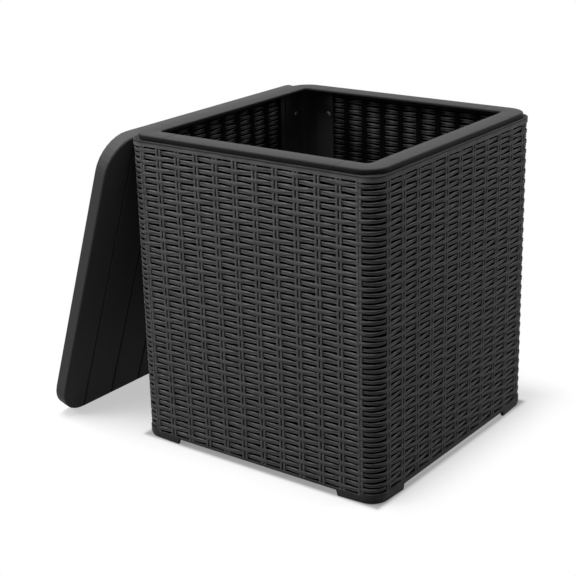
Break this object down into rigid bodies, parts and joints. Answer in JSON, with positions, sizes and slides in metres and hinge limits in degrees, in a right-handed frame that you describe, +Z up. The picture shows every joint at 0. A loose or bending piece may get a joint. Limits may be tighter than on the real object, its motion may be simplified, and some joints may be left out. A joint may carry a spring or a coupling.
{
  "type": "propane tank cover table",
  "caption": "Square woven-look resin cover box for a gas cylinder, open, with its planked table top lifted off and leaned against the left wall.",
  "frame": {"origin": "middle of the footprint of the whole object, box and leaned lid together, at floor level", "axes": "+X to the right, away from the leaned lid; +Y toward the back wall; +Z up"},
  "size_m": [0.673, 0.55, 0.532],
  "materials": {
    "wall_plastic": "fine grained moulding",
    "post_plastic": "smooth moulding",
    "lid_plastic": "grained planks",
    "screw_steel": "dull zinc"
  },
  "bodies": {
    "box": {"front_panel": "wall_plastic", "back_panel": "wall_plastic", "left_panel": "wall_plastic", "right_panel": "wall_plastic", "corner_post_front_left": "post_plastic", "corner_post_front_right": "post_plastic", "corner_post_back_left": "post_plastic", "corner_post_back_right": "post_plastic", "screw_front_1": "screw_steel", "screw_front_2": "screw_steel", "screw_front_3": "screw_steel", "screw_front_4": "screw_steel", "screw_back_1": "screw_steel", "screw_back_2": "screw_steel", "screw_back_3": "screw_steel", "screw_back_4": "screw_steel", "screw_left_1": "screw_steel", "screw_left_2": "screw_steel", "screw_left_3": "screw_steel", "screw_left_4": "screw_steel", "screw_right_1": "screw_steel", "screw_right_2": "screw_steel", "screw_right_3": "screw_steel", "screw_right_4": "screw_steel"},
    "lid": {"lid": "lid_plastic"}
  },
  "joints": [
    {"name": "lid_swing", "type": "hinge", "parent": "box", "child": "lid", "pos_m": [-0.16661, 0, 0.51653], "axis": [0, 1, 0], "range_deg": [0, 251.73]}
  ]
}
